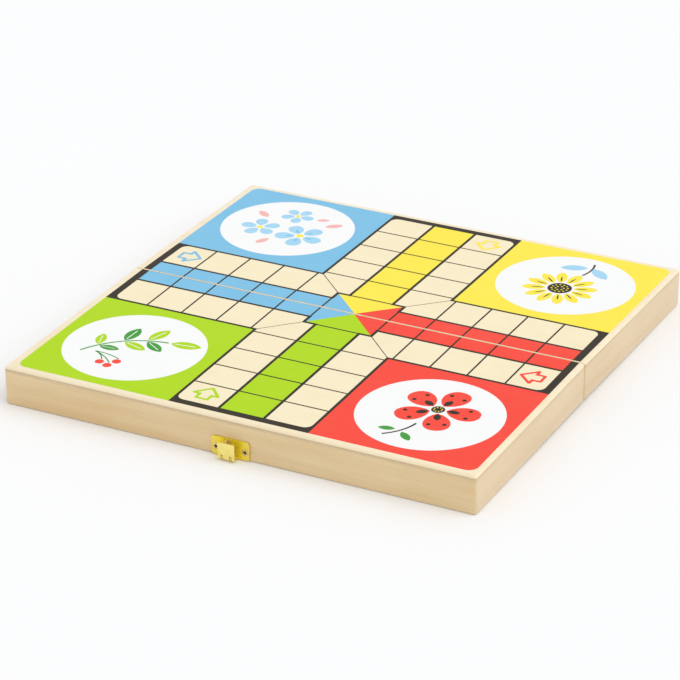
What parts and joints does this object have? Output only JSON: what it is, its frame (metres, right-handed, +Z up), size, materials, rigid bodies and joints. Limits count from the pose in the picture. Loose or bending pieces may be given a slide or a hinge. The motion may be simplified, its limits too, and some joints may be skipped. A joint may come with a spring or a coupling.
{
  "type": "folding ludo board box",
  "caption": "Folding ludo board box: shallow wooden halves hinged along a seam open flat as a board, or fold into a closed box held by a brass flap clasp.",
  "frame": {"origin": "on the table plane, below the middle of the open board's box; the fold axis runs along X, 1.3 mm above it and 1.1 mm towards the back. At rest the open board stands on its hinge knuckles and its two outer rims, so each half tilts down 0.58 degrees from the seam", "axes": "+Z up, out of the play surface; +Y from the clasp's side to the catch's side; +X along the seam, to the right of a person who faces the clasp"},
  "size_m": [0.3, 0.3108, 0.0255],
  "materials": {
    "rail_wood": "solid pale softwood under a clear satin varnish",
    "panel_wood": "pale plywood under a clear gloss varnish",
    "clasp_brass": "bright brass plate",
    "hinge_brass": "satin brass plate",
    "screw_steel": "yellow-zinc plated steel",
    "ink_green": "screen print under gloss varnish",
    "ink_red": "screen print under gloss varnish",
    "ink_yellow": "screen print under gloss varnish",
    "ink_blue": "screen print under gloss varnish",
    "ink_black": "screen print under gloss varnish",
    "ink_cream": "screen print under gloss varnish",
    "ink_white": "screen print under gloss varnish"
  },
  "bodies": {
    "front_half": {"front_play_panel": "panel_wood", "front_outer_rail": "rail_wood", "front_left_rail": "rail_wood", "front_right_rail": "rail_wood", "front_seam_rail": "rail_wood", "left_hinge_front_leaf": "hinge_brass", "left_hinge_pin": "hinge_brass", "left_hinge_front_screw_1": "hinge_brass", "left_hinge_front_screw_2": "hinge_brass", "right_hinge_front_leaf": "hinge_brass", "right_hinge_pin": "hinge_brass", "right_hinge_front_screw_1": "hinge_brass", "right_hinge_front_screw_2": "hinge_brass", "clasp_plate": "clasp_brass", "clasp_pin": "clasp_brass", "clasp_left_screw": "screw_steel", "clasp_right_screw": "screw_steel", "clasp_top_screw": "screw_steel"},
    "back_half": {"back_play_panel": "panel_wood", "back_outer_rail": "rail_wood", "back_left_rail": "rail_wood", "back_right_rail": "rail_wood", "back_seam_rail": "rail_wood", "left_hinge_back_leaf": "hinge_brass", "left_hinge_back_screw_1": "hinge_brass", "left_hinge_back_screw_2": "hinge_brass", "right_hinge_back_leaf": "hinge_brass", "right_hinge_back_screw_1": "hinge_brass", "right_hinge_back_screw_2": "hinge_brass", "catch_plate": "clasp_brass", "catch_left_screw": "screw_steel", "catch_right_screw": "screw_steel"},
    "clasp_flap": {"clasp_flap": "clasp_brass"}
  },
  "joints": [
    {"name": "board_fold", "type": "hinge", "parent": "front_half", "child": "back_half", "pos_m": [0, 0.00112, 0.0013], "axis": [-1, 0, 0], "range_deg": [-1.15, 178.85]},
    {"name": "clasp_swing", "type": "hinge", "parent": "front_half", "child": "clasp_flap", "pos_m": [-0.0008, -0.1538, 0.00204], "axis": [1, 0, 0], "range_deg": [0, 180]}
  ]
}
